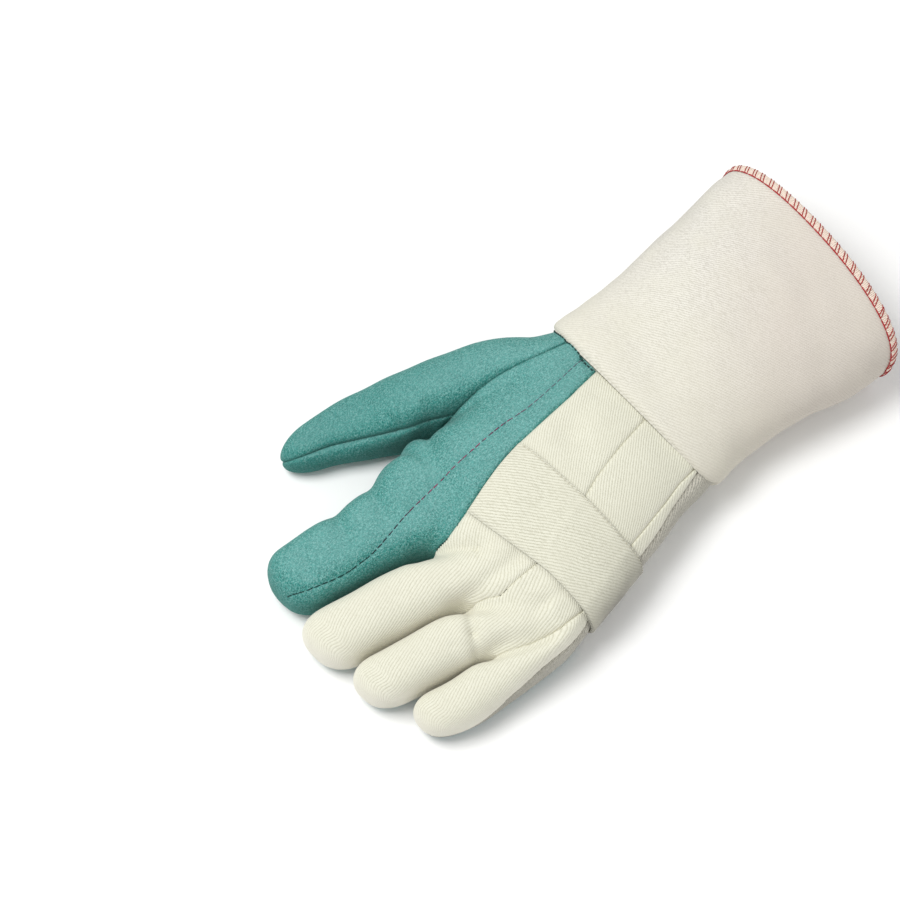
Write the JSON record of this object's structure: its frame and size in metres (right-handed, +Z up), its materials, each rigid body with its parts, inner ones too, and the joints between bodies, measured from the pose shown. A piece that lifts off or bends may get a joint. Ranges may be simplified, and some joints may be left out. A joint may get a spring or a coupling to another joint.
{
  "type": "gauntlet work glove",
  "caption": "Heat-resistant gauntlet work glove for the left hand, lying palm down: napped fleece palm and thumb, cotton twill back strips, knuckle strap and flared cuff with an overlocked rim.",
  "frame": {"origin": "on the surface that the glove lies on, under the middle of the glove's outline seen from above", "axes": "+Y towards the fingertips, +X towards the thumb's side, +Z up through the back of the hand"},
  "size_m": [0.1777, 0.3171, 0.0672],
  "materials": {
    "fleece": "green-teal cotton fleece, quilted of two layers, with a short matted nap",
    "twill": "undyed cotton twill with raised diagonal ribs, matt",
    "binding": "close overlock stitching of pale cotton thread with dark red needle threads"
  },
  "bodies": {
    "root": {"palm_panel": "fleece", "index_back_panel": "fleece", "thumb_outer": "fleece", "thumb_inner": "fleece", "back_strip_middle": "twill", "back_strip_ring": "twill", "back_strip_little": "twill", "side_strip": "twill", "knuckle_strap": "twill", "gauntlet_cuff": "twill", "rim_binding": "binding"}
  },
  "joints": []
}
